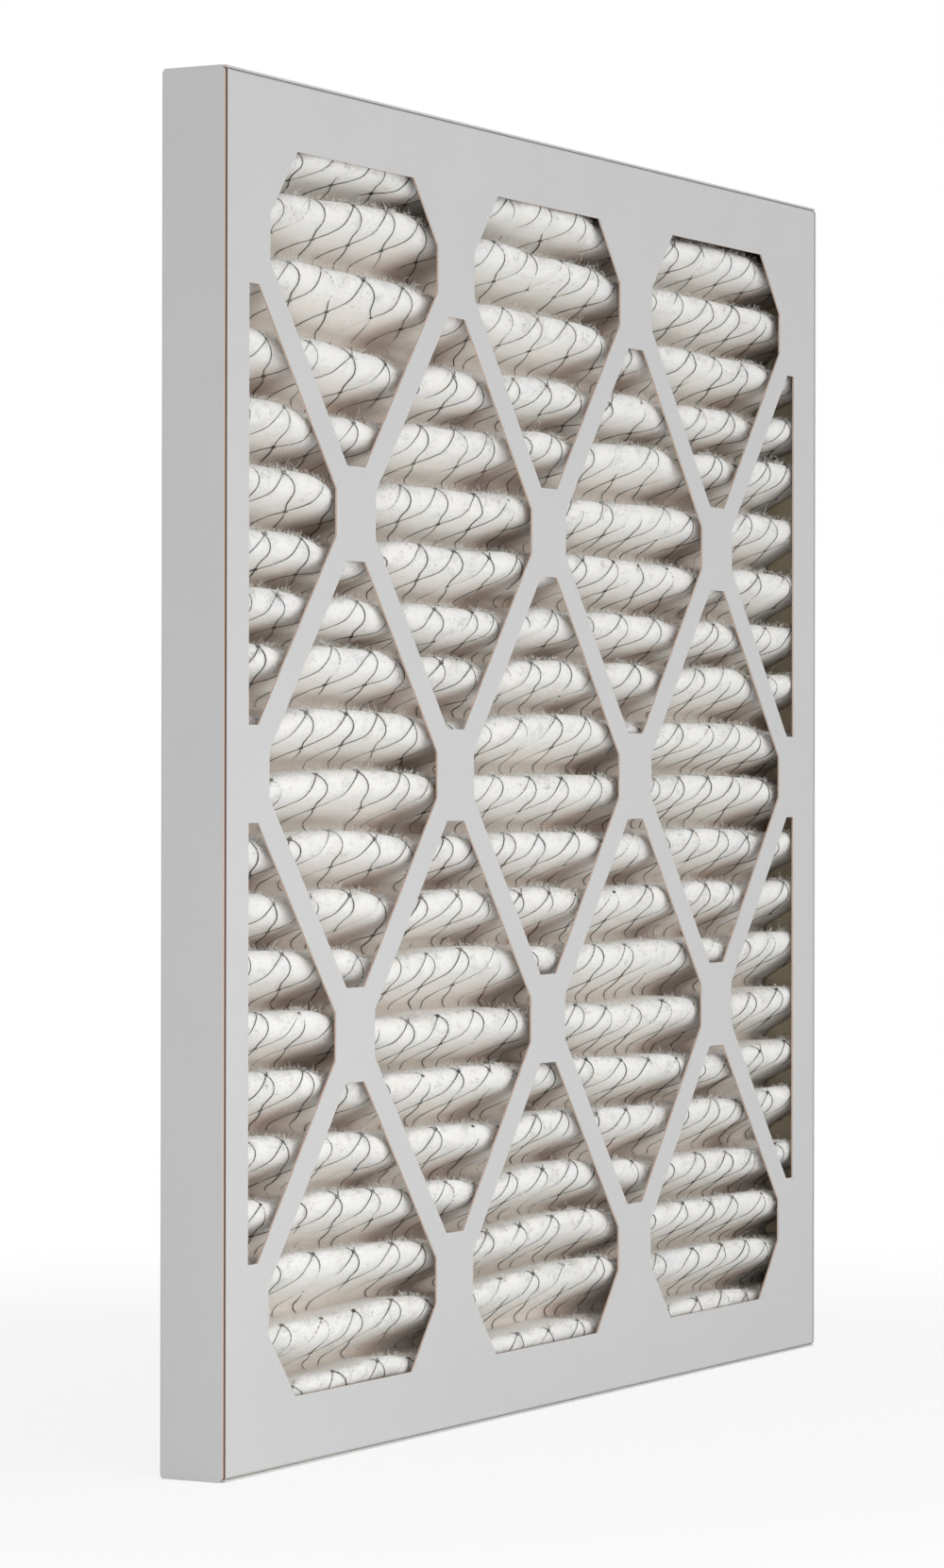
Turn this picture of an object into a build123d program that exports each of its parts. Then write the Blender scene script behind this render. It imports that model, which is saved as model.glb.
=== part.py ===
from build123d import *
import math
import os

# Pleated panel air filter: two nested die-cut board trays with a diamond lattice of
# windows hold a horizontally pleated sheet of fibre media, which carries a net of
# expanded metal on its front side. The filter stands on its bottom edge.
# X runs along the pleats, Y from the front face to the rear face, Z upwards.
# The origin is at the middle of the bottom edge. All sizes are in millimetres.

# overall size
WIDTH = 495.0
HEIGHT = 495.0
DEPTH = 26.0

# board trays
BOARD = 0.7              # board thickness
FOLD_RADIUS = 1.1        # outer radius of each fold
GLUE_FILM = 0.2          # adhesive between the nested flaps
FLAP_CLEARANCE = 0.4     # front tray's flap ends to the rear panel
FLAP_CORNER = 1.6        # chamfer on the free corners of the side flaps

# lattice of windows, the same on both trays
COLUMN_PITCH = 151.8     # between window columns
ROW_PITCH = 190.2        # between window rows
WINDOW_HALF_WIDTH = 61.6
WINDOW_HALF_HEIGHT = 77.8
WINDOW_HALF_SIDE = 8.6   # half of the upright side
WINDOW_HALF_TOP = 6.6    # half of the level top
COLUMNS = 3
ROWS = 3
BORDER_TOP = 25.0        # board above and below the windows
LATTICE_SHIFT = 2.7      # lattice sits this far left of the middle of the front face

# pleated media
MEDIA_THICKNESS = 3.0
PLEATS = 22
CREST_RADIUS = 5.0       # outer radius of a crest
CREST_FACETS = 4         # flats that each rounded crest is made of
CREST_CLEARANCE = 0.1    # rear crests to the rear panel
TAIL_LENGTH = 14.0       # straight end of the sheet along the top and bottom walls
BOND_FILM = 0.4          # adhesive under each tail
SEAL_THICKNESS = 0.8     # bead along the pleat ends

# expanded metal net, drawn as a coarser net of the same form
NET_THICKNESS = 0.4
NET_STRAND = 1.1         # strand width seen from the front
NET_COLUMNS = 5          # meshes across the width
NET_PLEATS_PER_MESH = 2  # pleats spanned by one mesh
NET_CREST_HALF = 5.4     # half of the flat stretch over a crest
NET_GAP = 0.1            # net to the crest behind it
NET_VALLEY_GAP = 0.4     # net to the bottom of a valley

# levels from front (negative Y) to rear
FRONT = -DEPTH / 2
REAR = DEPTH / 2
FRONT_PANEL_BACK = FRONT + BOARD
REAR_PANEL_FRONT = REAR - BOARD

# the front tray nests inside the rear tray
NEST_OFFSET = BOARD + GLUE_FILM
INNER_WIDTH = WIDTH - 2 * NEST_OFFSET
INNER_HEIGHT = HEIGHT - 2 * NEST_OFFSET
CAVITY_WIDTH = INNER_WIDTH - 2 * BOARD
CAVITY_HEIGHT = INNER_HEIGHT - 2 * BOARD

# pleat geometry on the centre line of the sheet
HALF_MEDIA = MEDIA_THICKNESS / 2
BEND = CREST_RADIUS - HALF_MEDIA
FRONT_CREST = FRONT_PANEL_BACK + NET_THICKNESS + NET_GAP
REAR_CREST = REAR_PANEL_FRONT - CREST_CLEARANCE
FRONT_CENTRE = FRONT_CREST + CREST_RADIUS
REAR_CENTRE = REAR_CREST - CREST_RADIUS
FIRST_CREST = -CAVITY_HEIGHT / 2 + BOND_FILM + CREST_RADIUS
PLEAT_PITCH = -2 * FIRST_CREST / PLEATS
PACK_WIDTH = CAVITY_WIDTH - 2 * SEAL_THICKNESS
TAIL_END = FRONT_CENTRE + TAIL_LENGTH


def slab(face, thickness):
    """A face extruded to a slab that is centred on the face's plane."""
    start = face.normal_at() * (-thickness / 2)
    return Pos(*start) * extrude(face, thickness)


def window_outline():
    """One window: an octagon with long slanting sides and a short level top and bottom."""
    corners = [
        (WINDOW_HALF_TOP, WINDOW_HALF_HEIGHT),
        (WINDOW_HALF_WIDTH, WINDOW_HALF_SIDE),
        (WINDOW_HALF_WIDTH, -WINDOW_HALF_SIDE),
        (WINDOW_HALF_TOP, -WINDOW_HALF_HEIGHT),
    ]
    mirrored = [(-x, z) for x, z in reversed(corners)]
    return make_face(Polyline(*corners, *mirrored, close=True))


def window_centres():
    """Centres of the windows: a grid of columns and rows, and a second grid between them."""
    for row in range(2 * ROWS - 1):
        z = (row - (ROWS - 1)) * ROW_PITCH / 2
        between = row % 2
        for column in range(COLUMNS + between):
            yield (column - (COLUMNS - 1 + between) / 2) * COLUMN_PITCH, z


def lattice(shift):
    """The windows of one panel, cut off square at the border of the panel."""
    field = Rectangle(COLUMNS * COLUMN_PITCH, HEIGHT - 2 * BORDER_TOP)
    windows = [Pos(x, z) * window_outline() for x, z in window_centres()]
    return Pos(shift, 0) * (Sketch() + windows & field)


def folded_wall(depth, fold_length, flap_length):
    """A fold and its flap, with the flap's outer side at X = 0 and the panel's face at Y = 0."""
    inner_radius = FOLD_RADIUS - BOARD
    half_turn = math.sqrt(0.5)
    outer_middle = (FOLD_RADIUS * (half_turn - 1), FOLD_RADIUS * (1 - half_turn))
    inner_middle = (inner_radius * half_turn - FOLD_RADIUS, FOLD_RADIUS - inner_radius * half_turn)
    fold = make_face(
        ThreePointArc((-FOLD_RADIUS, 0), outer_middle, (0, FOLD_RADIUS))
        + Line((0, FOLD_RADIUS), (-BOARD, FOLD_RADIUS))
        + ThreePointArc((-BOARD, FOLD_RADIUS), inner_middle, (-FOLD_RADIUS, BOARD))
        + Line((-FOLD_RADIUS, BOARD), (-FOLD_RADIUS, 0))
    )
    flap = Pos(-BOARD / 2, (FOLD_RADIUS + depth) / 2) * Rectangle(BOARD, depth - FOLD_RADIUS)
    wall = slab(flap.face(), flap_length)
    if flap_length > fold_length:
        free_corners = wall.edges().filter_by(Axis.X).group_by(Axis.Y)[-1]
        wall = chamfer(free_corners, FLAP_CORNER)
    return wall + slab(fold.face(), fold_length)


def tray(width, height, depth, shift):
    """A folded tray: a panel with windows at Y = 0 and four flaps reaching to Y = depth."""
    flat_width = width - 2 * FOLD_RADIUS
    flat_height = height - 2 * FOLD_RADIUS
    panel = extrude(Plane.XZ * (Rectangle(flat_width, flat_height) - lattice(shift)), -BOARD)
    side = Pos(width / 2, 0, 0) * folded_wall(depth, flat_height, height)
    level = folded_wall(depth, flat_width, flat_width)
    level = Pos(0, 0, height / 2) * (Rot(0, -90, 0) * level)
    return panel + [side, mirror(side, Plane.YZ), level, mirror(level, Plane.XY)]


def front_frame():
    """The inner tray: its panel is the front face and its flaps point to the rear."""
    depth = DEPTH - BOARD - FLAP_CLEARANCE
    return Pos(0, FRONT, 0) * tray(INNER_WIDTH, INNER_HEIGHT, depth, -LATTICE_SHIFT)


def rear_frame():
    """The outer tray: its panel is the rear face and its flaps end flush with the front."""
    return Pos(0, REAR, 0) * (Rot(0, 0, 180) * tray(WIDTH, HEIGHT, DEPTH, LATTICE_SHIFT))


def flank_angle():
    """Angle between a flank and the Y axis: the flank touches both crest circles."""
    rise = PLEAT_PITCH / 2
    run = REAR_CENTRE - FRONT_CENTRE
    return math.atan2(rise, run) - math.asin(2 * BEND / math.hypot(rise, run))


def crest_points(y, z, radius, side, start, end):
    """Points round a crest between two turns from its tip: side is -1 in front, 1 at the rear."""
    turns = [start + (end - start) * step / CREST_FACETS for step in range(CREST_FACETS + 1)]
    return [(y + side * radius * math.cos(t), z + radius * math.sin(t)) for t in turns]


def sheet_side(offset):
    """One side of the sheet as points in the YZ plane, at an offset from its centre line.

    The straight flanks touch the circles of the front crests (radius BEND + offset) and of
    the rear crests (radius BEND - offset). The first and last crests turn on by a quarter
    circle into tails that run back along the bottom and top walls.
    """
    quarter = math.pi / 2
    flank = quarter - flank_angle()
    radius = BEND + offset
    tail = radius - FIRST_CREST
    points = [(TAIL_END, -tail)]
    for pleat in range(PLEATS + 1):
        z = FIRST_CREST + pleat * PLEAT_PITCH
        start = -quarter if pleat == 0 else -flank
        end = quarter if pleat == PLEATS else flank
        points += crest_points(FRONT_CENTRE, z, radius, -1, start, end)
        if pleat < PLEATS:
            valley = z + PLEAT_PITCH / 2
            points += crest_points(REAR_CENTRE, valley, BEND - offset, 1, -flank, flank)
    return points + [(TAIL_END, tail)]


def pleated_media():
    """The fibre sheet: one corrugated section carried along the pleats."""
    section = Polyline(*sheet_side(HALF_MEDIA), *reversed(sheet_side(-HALF_MEDIA)), close=True)
    return slab(make_face(Plane.YZ * section).face(), PACK_WIDTH)


def net_section():
    """The net's run over the crests and into the valleys, as a face in the YZ plane."""
    valley_front = REAR_CENTRE + BEND - HALF_MEDIA - NET_VALLEY_GAP - NET_THICKNESS
    front = []
    for pleat in range(PLEATS + 1):
        z = FIRST_CREST + pleat * PLEAT_PITCH
        front += [(FRONT_PANEL_BACK, z - NET_CREST_HALF), (FRONT_PANEL_BACK, z + NET_CREST_HALF)]
        if pleat < PLEATS:
            front.append((valley_front, z + PLEAT_PITCH / 2))
    # the first and last crests lie against the top and bottom walls
    front[0] = (FRONT_PANEL_BACK, FIRST_CREST - BEND)
    front[-1] = (FRONT_PANEL_BACK, BEND - FIRST_CREST)
    back = [(y + NET_THICKNESS, z) for y, z in reversed(front)]
    return make_face(Plane.YZ * Polyline(*front, *back, close=True)).face()


def net_plan():
    """The net seen from the front: a sheet of diamond meshes, wider and taller than the pack."""
    mesh_width = PACK_WIDTH / NET_COLUMNS
    mesh_height = NET_PLEATS_PER_MESH * PLEAT_PITCH
    diagonal = math.hypot(mesh_width, mesh_height)
    half_width = (mesh_width - NET_STRAND * diagonal / mesh_height) / 2
    half_height = (mesh_height - NET_STRAND * diagonal / mesh_width) / 2
    hole = Wire.make_polygon(
        [(half_width, 0), (0, half_height), (-half_width, 0), (0, -half_height)], close=True
    )
    rows = math.ceil(PLEATS / NET_PLEATS_PER_MESH)
    holes = []
    for row in range(-rows - 1, rows + 2):
        between = row % 2
        for column in range(NET_COLUMNS + 1 + between):
            x = (column - (NET_COLUMNS + between) / 2) * mesh_width
            holes.append(Pos(x, row * mesh_height / 2) * hole)
    sheet = Wire.make_rect((NET_COLUMNS + 3) * mesh_width, (rows + 3) * mesh_height)
    return Face(sheet, holes)


def wire_backing():
    """The net: its diamond plan carried through the run of the pleats."""
    return slab(net_section(), PACK_WIDTH) & slab(Plane.XZ * net_plan(), DEPTH)


def block(x_range, y_range, z_range):
    """A rectangular block between the given limits."""
    limits = (x_range, y_range, z_range)
    size = [high - low for low, high in limits]
    middle = [(high + low) / 2 for low, high in limits]
    return Pos(*middle) * Box(*size)


def end_seal_right():
    """The bead of adhesive on the right wall, which takes the ends of the pleats."""
    wall = CAVITY_WIDTH / 2
    return block(
        (wall - SEAL_THICKNESS, wall),
        (FRONT + FOLD_RADIUS, REAR_PANEL_FRONT - FLAP_CLEARANCE),
        (-CAVITY_HEIGHT / 2, CAVITY_HEIGHT / 2),
    )


def media_bond_top():
    """The adhesive between the top wall and the tail of the sheet."""
    wall = CAVITY_HEIGHT / 2
    return block(
        (-PACK_WIDTH / 2, PACK_WIDTH / 2), (FRONT_CENTRE, TAIL_END), (wall - BOND_FILM, wall)
    )


def flap_glue_right():
    """The adhesive between the right flaps of the two trays."""
    return block(
        (INNER_WIDTH / 2, WIDTH / 2 - BOARD),
        (FRONT + FOLD_RADIUS, REAR_PANEL_FRONT - FLAP_CLEARANCE),
        (FOLD_RADIUS - HEIGHT / 2, HEIGHT / 2 - FOLD_RADIUS),
    )


def flap_glue_top():
    """The adhesive between the top flaps of the two trays."""
    return block(
        (FOLD_RADIUS - INNER_WIDTH / 2, INNER_WIDTH / 2 - FOLD_RADIUS),
        (FRONT + FOLD_RADIUS, REAR_PANEL_FRONT - FLAP_CLEARANCE),
        (INNER_HEIGHT / 2, HEIGHT / 2 - BOARD),
    )


def all_parts():
    """Every separate piece of the filter by name, about the middle of the filter."""
    seal, bond = end_seal_right(), media_bond_top()
    side_glue, level_glue = flap_glue_right(), flap_glue_top()
    return {
        "front_frame": front_frame(),
        "rear_frame": rear_frame(),
        "pleated_media": pleated_media(),
        "wire_backing": wire_backing(),
        "end_seal_right": seal,
        "end_seal_left": mirror(seal, Plane.YZ),
        "media_bond_top": bond,
        "media_bond_bottom": mirror(bond, Plane.XY),
        "flap_glue_right": side_glue,
        "flap_glue_left": mirror(side_glue, Plane.YZ),
        "flap_glue_top": level_glue,
        "flap_glue_bottom": mirror(level_glue, Plane.XY),
    }


os.makedirs("parts", exist_ok=True)
for name, part in all_parts().items():
    export_step(Pos(0, 0, HEIGHT / 2) * part, f"parts/{name}.step")
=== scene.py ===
"""Looks of a pleated panel air filter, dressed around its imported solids.

The two paperboard trays and the adhesive keep their solids and take finishes. The pleated sheet, the
expanded metal net on its front and the loose fibres of its nap are surfaces worked out as whole arrays.
Lengths are in metres and in the frame of the solids: X runs along the pleats, -Y is the face that carries
the net, +Z is up, and the origin is the middle of the bottom edge.
"""

import logging
import math
from collections.abc import Iterable
from dataclasses import dataclass, field
from enum import Enum

import bpy
import numpy as np
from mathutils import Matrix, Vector
from numpy.typing import NDArray


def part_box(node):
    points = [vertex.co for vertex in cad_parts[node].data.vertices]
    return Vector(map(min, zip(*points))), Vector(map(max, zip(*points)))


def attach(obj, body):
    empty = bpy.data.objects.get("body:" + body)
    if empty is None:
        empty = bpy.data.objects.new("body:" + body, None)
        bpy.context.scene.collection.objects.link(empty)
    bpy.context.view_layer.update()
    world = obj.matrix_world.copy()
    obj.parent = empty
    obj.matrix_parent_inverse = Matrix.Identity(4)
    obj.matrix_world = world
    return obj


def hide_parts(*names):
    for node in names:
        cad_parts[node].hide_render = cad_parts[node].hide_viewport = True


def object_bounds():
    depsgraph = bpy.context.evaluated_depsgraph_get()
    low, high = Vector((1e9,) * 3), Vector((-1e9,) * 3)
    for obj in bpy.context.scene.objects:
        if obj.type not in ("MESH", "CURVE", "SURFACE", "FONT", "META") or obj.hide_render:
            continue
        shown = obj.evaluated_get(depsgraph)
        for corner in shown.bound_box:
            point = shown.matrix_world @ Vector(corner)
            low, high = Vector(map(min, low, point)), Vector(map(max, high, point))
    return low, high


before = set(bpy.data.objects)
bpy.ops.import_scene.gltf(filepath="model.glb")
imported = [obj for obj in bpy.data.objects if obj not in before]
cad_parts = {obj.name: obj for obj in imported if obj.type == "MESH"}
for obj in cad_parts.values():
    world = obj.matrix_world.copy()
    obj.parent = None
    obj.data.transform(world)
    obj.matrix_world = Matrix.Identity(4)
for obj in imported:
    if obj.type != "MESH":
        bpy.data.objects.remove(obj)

LOG = logging.getLogger("air_filter")
CAD_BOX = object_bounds()
MM = 0.001
Array = NDArray[np.float64]

# Sockets of the colour Mix node, which shares its names between kinds of data.
MIX_FACTOR, MIX_FIRST, MIX_SECOND, MIX_RESULT = 0, 6, 7, 2


class Side(Enum):
    """The two faces of the pleated sheet, as the sign of the way out along its normal."""

    FRONT = 1.0
    REAR = -1.0


class Tray(Enum):
    """The two folded trays of the frame, by the names of their solids."""

    INNER = "front_frame"
    OUTER = "rear_frame"


# ---------------------------------------------------------------------------------------------------
# Small helpers
# ---------------------------------------------------------------------------------------------------


def linear(code: str) -> tuple[float, float, float, float]:
    """Turn an sRGB hex colour into the linear colour that shaders take.

    Args:
        code: The colour, such as "#C8C8C9".

    Returns:
        Red, green, blue and an alpha of 1.
    """
    parts = np.array([int(code[i:i + 2], 16) for i in (1, 3, 5)]) / 255
    curve = np.where(parts <= 0.04045, parts / 12.92, ((parts + 0.055) / 1.055) ** 2.4)
    return (*curve.tolist(), 1.0)


def add_node(
        tree: bpy.types.NodeTree, kind: str, inputs: dict[int | str, object] | None = None,
        **settings: object) -> bpy.types.Node:
    """Add one shader node with its settings, values and links.

    Args:
        tree: The node tree that takes it.
        kind: Blender's name of the node type.
        inputs: What each input socket, by name or number, is set or linked to. A node stands for its own
            first output.
        **settings: Properties of the node itself.

    Returns:
        The new node.
    """
    node = tree.nodes.new(kind)
    for name, value in settings.items():
        setattr(node, name, value)
    for key, value in (inputs or {}).items():
        source = value.outputs[0] if isinstance(value, bpy.types.Node) else value
        if isinstance(source, bpy.types.NodeSocket):
            tree.links.new(source, node.inputs[key])
        else:
            node.inputs[key].default_value = source
    return node


def lay_over(
        tree: bpy.types.NodeTree, base: str, layers: Iterable[tuple[object, object]]) -> bpy.types.NodeSocket:
    """Lay colours over a base, one after another, each as strongly as its share.

    Args:
        tree: The node tree that takes the nodes.
        base: The lowest colour, in sRGB hex.
        layers: Each further layer's share from 0 to 1 and its colour, in sRGB hex or from a socket.

    Returns:
        The colour of all the layers together.
    """
    colour = linear(base)
    for share, layer in layers:
        upper = linear(layer) if isinstance(layer, str) else layer
        colour = add_node(tree, "ShaderNodeMix", {MIX_FACTOR: share, MIX_FIRST: colour, MIX_SECOND: upper},
                          data_type="RGBA").outputs[MIX_RESULT]
    return colour


def new_material(name: str) -> tuple[bpy.types.Material, bpy.types.NodeTree, bpy.types.NodeSocket]:
    """Make a material with an empty node tree, but for the node that gives a point's place.

    Args:
        name: The material's name.

    Returns:
        The material, its tree and the socket of the Object coordinates.
    """
    material = bpy.data.materials.new(name)
    material.use_nodes = True
    tree = material.node_tree
    tree.nodes.clear()
    return material, tree, add_node(tree, "ShaderNodeTexCoord").outputs["Object"]


def dress(piece: bpy.types.Object, material: bpy.types.Material) -> None:
    """Give a piece one material in all of its slots.

    Args:
        piece: The piece to dress.
        material: The finish that it takes.
    """
    if not piece.material_slots:
        piece.data.materials.append(material)
    for slot in piece.material_slots:
        slot.material = material


def mesh_piece(name: str, points: Array, faces: NDArray[np.int64], smooth: bool) -> bpy.types.Object:
    """Make a mesh object from whole arrays, all its faces having as many corners.

    Args:
        name: The object's name.
        points: Vertex places, one row each.
        faces: Vertex numbers of each face, anticlockwise seen from outside.
        smooth: Whether the faces are shaded smooth.

    Returns:
        The linked object, with its place in its mesh.
    """
    mesh = bpy.data.meshes.new(name)
    count, corners = faces.shape
    mesh.vertices.add(len(points))
    mesh.vertices.foreach_set("co", points.astype(np.float32).ravel())
    mesh.loops.add(count * corners)
    mesh.loops.foreach_set("vertex_index", faces.astype(np.int32).ravel())
    mesh.polygons.add(count)
    mesh.polygons.foreach_set("loop_start", np.arange(0, count * corners, corners, dtype=np.int32))
    mesh.polygons.foreach_set("use_smooth", np.full(count, smooth))
    mesh.update(calc_edges=True)
    mesh.validate()
    piece = bpy.data.objects.new(name, mesh)
    bpy.context.scene.collection.objects.link(piece)
    return piece


def add_attribute(piece: bpy.types.Object, name: str, values: Array) -> None:
    """Store one number for each vertex of a piece."""
    attribute = piece.data.attributes.new(name, "FLOAT", "POINT")
    attribute.data.foreach_set("value", values.astype(np.float32).ravel())


def unit(vectors: Array) -> Array:
    """Scale vectors along the last axis to length 1."""
    return vectors / np.maximum(np.linalg.norm(vectors, axis=-1, keepdims=True), 1e-12)


def within_boards(points: Array, room: float | Array) -> Array:
    """Move points so that their Y and Z stay some room inside the filter's own box.

    Args:
        points: Points, with a last axis of three.
        room: How far inside the box they stay.

    Returns:
        The points, each coordinate clipped to that smaller box.
    """
    points = points.copy()
    for axis in (1, 2):
        points[..., axis] = np.clip(points[..., axis], CAD_BOX[0][axis] + room, CAD_BOX[1][axis] - room)
    return points


@dataclass(frozen=True)
class Ripple:
    """A smooth seeded random field over two coordinates, as a sum of sine waves.

    Each wave has a random direction, a random phase and a length near `length`. The sum is scaled so that
    it mostly stays within `height` of zero.
    """

    seed: int
    length: float
    height: float
    waves: int = 9
    length_spread: tuple[float, float] = (0.6, 1.7)

    def at(self, first: Array, second: Array) -> Array:
        """Give the field at points, as the sum over waves of sin(direction . point + phase).

        Args:
            first: First coordinates, in metres.
            second: Second coordinates, in metres.

        Returns:
            The field's values, in the unit of `height`.
        """
        draw = np.random.default_rng(self.seed)
        angles = draw.uniform(0, 2 * math.pi, self.waves)
        phases = draw.uniform(0, 2 * math.pi, self.waves)
        steps = 2 * math.pi / (self.length * draw.uniform(*self.length_spread, self.waves))
        total = np.zeros(np.broadcast(first, second).shape)
        for angle, phase, step in zip(angles, phases, steps):
            total += np.sin(step * (math.cos(angle) * first + math.sin(angle) * second) + phase)
        return self.height * total / math.sqrt(self.waves)


# ---------------------------------------------------------------------------------------------------
# Finishes
# ---------------------------------------------------------------------------------------------------


@dataclass(frozen=True)
class ClayCoatedBoard:
    """Recycled chipboard, pressed, with a pale grey clay coat on its outer side.

    The coat is matt and even, with faint clouds of pulp under it. Where the die cut through it and on the
    inner side the bare brown pulp shows, rough and flecked.
    """

    name: str
    coat: str = "#CECECE"
    coat_cloud: str = "#C6C6C6"
    pulp: str = "#A9866A"
    pulp_dark: str = "#6E4E3C"
    cut: str = "#CFB6A6"
    # Dark brown of crushed pulp at the score, and painted shadow of the groove beside the outer flap's rim.
    score_and_groove_shadow: str = "#5A3B30"
    coat_roughness: float = 0.58
    pulp_roughness: float = 0.9
    # The pulp's own flecks are some 0.3 mm across, too fine to show, so that they are drawn coarser.
    fleck: float = 1.6 * MM
    cloud: float = 30 * MM
    cloudiness: float = 0.6
    bump_depth: float = 0.02 * MM
    wall_band: float = 3 * MM
    score_width: float = 2.1 * MM
    score_depth: float = 1.1 * MM

    def build(self, tray: Tray) -> bpy.types.Material:
        """Build the material for one tray.

        The coat is clouded by the sum of a fine and a slow noise. Raw pulp is dark where the fine noise is
        high, and the same noise roughens every face.

        Args:
            tray: Which tray it dresses.

        Returns:
            The material.
        """
        material, tree, place = new_material(self.name)
        coated, bare, scored_and_shadowed = self._masks(tree, tray, place)
        flecks = add_node(tree, "ShaderNodeTexNoise", {
            "Vector": place, "Scale": 1 / self.fleck, "Detail": 4.0})
        clouds = add_node(tree, "ShaderNodeTexNoise", {
            "Vector": place, "Scale": 1 / self.cloud, "Detail": 3.0})
        both = add_node(tree, "ShaderNodeMath", {0: flecks, 1: clouds}, operation="ADD")
        shade = add_node(tree, "ShaderNodeMath", {0: both, 1: self.cloudiness}, operation="MULTIPLY")
        dark = add_node(tree, "ShaderNodeMapRange", {"Value": flecks, "From Min": 0.35, "From Max": 0.7})
        coat = lay_over(tree, self.coat, [(shade, self.coat_cloud)])
        colour = lay_over(tree, self.pulp, [
            (dark, self.pulp_dark), (bare, self.cut), (coated, coat), (scored_and_shadowed, self.score_and_groove_shadow)])
        roughness = add_node(tree, "ShaderNodeMapRange", {
            "Value": coated, "To Min": self.pulp_roughness, "To Max": self.coat_roughness})
        bump = add_node(tree, "ShaderNodeBump", {
            "Height": flecks, "Strength": 0.6, "Distance": self.bump_depth})
        shader = add_node(tree, "ShaderNodeBsdfPrincipled", {
            "Base Color": colour, "Roughness": roughness, "IOR": 1.5, "Normal": bump})
        add_node(tree, "ShaderNodeOutputMaterial", {"Surface": shader})
        return material

    def _masks(
            self, tree: bpy.types.NodeTree, tray: Tray,
            place: bpy.types.NodeSocket) -> tuple[bpy.types.Node, ...]:
        """Work out where the board is coated, cut and scored.

        A face is coated where its normal points away from the middle of the filter. It is cut where it is
        square to the panel and inside the walls, and, on the outer tray, on the front rim of the left flap.
        Beside that rim the inner tray is scored to fold; its crushed pulp shows dark there, and the same dark
        brown stands in as painted shadow of the groove between the rim and the fold. Each step names a value,
        its operation and its two terms; a tray's last value of a name holds.

        Args:
            tree: The material's node tree.
            tray: Which tray it dresses.
            place: The socket of the Object coordinates.

        Returns:
            The shares of coat, of bare cut and of score, the last partly painted groove shadow.
        """
        low, high = CAD_BOX
        half, front = (high.x - low.x) / 2, (low.y - high.y) / 2
        normal = add_node(tree, "ShaderNodeNewGeometry").outputs["True Normal"]
        arm = add_node(tree, "ShaderNodeVectorMath", {0: place, 1: (low + high) / 2}, operation="SUBTRACT")
        outward = add_node(tree, "ShaderNodeVectorMath", {0: arm, 1: normal}, operation="DOT_PRODUCT")
        facing = add_node(tree, "ShaderNodeSeparateXYZ", {0: normal}).outputs["Y"]
        x, y, z = add_node(tree, "ShaderNodeSeparateXYZ", {0: arm}).outputs
        found = {"outward": outward.outputs["Value"], "facing": facing, "x": x, "y": y, "z": z}
        steps = [
            ("coated", "GREATER_THAN", "outward", 0.0),
            ("tilt", "ABSOLUTE", "facing", 0.0),
            ("square", "LESS_THAN", "tilt", 0.5),
            ("across", "ABSOLUTE", "x", 0.0),
            ("up", "ABSOLUTE", "z", 0.0),
            ("reach", "MAXIMUM", "across", "up"),
            ("within", "LESS_THAN", "reach", half - self.wall_band),
            ("bare", "MULTIPLY", "square", "within"),
            # The inner tray's left front strip: crushed pulp at the score, and painted shadow of the groove
            # there.
            ("left", "LESS_THAN", "x", self.score_width - half),
            ("fore", "LESS_THAN", "y", self.score_depth + front),
            ("scored_and_shadowed", "MULTIPLY", "left", "fore")]
        if tray is Tray.OUTER:
            steps += [
                ("forward", "LESS_THAN", "facing", -0.5),
                ("rim", "MULTIPLY", "forward", "scored_and_shadowed"),
                ("bare", "MAXIMUM", "bare", "rim"),
                ("coated", "MAXIMUM", "coated", "fore"),
                ("scored_and_shadowed", "MULTIPLY", "scored_and_shadowed", 0.0)]
        steps += [
            ("whole", "SUBTRACT", 1.0, "bare"),
            ("coated", "MULTIPLY", "coated", "whole")]
        for name, operation, first, second in steps:
            terms = {0: found.get(first, first), 1: found.get(second, second)}
            found[name] = add_node(tree, "ShaderNodeMath", terms, operation=operation)
        return found["coated"], found["bare"], found["scored_and_shadowed"]


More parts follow.
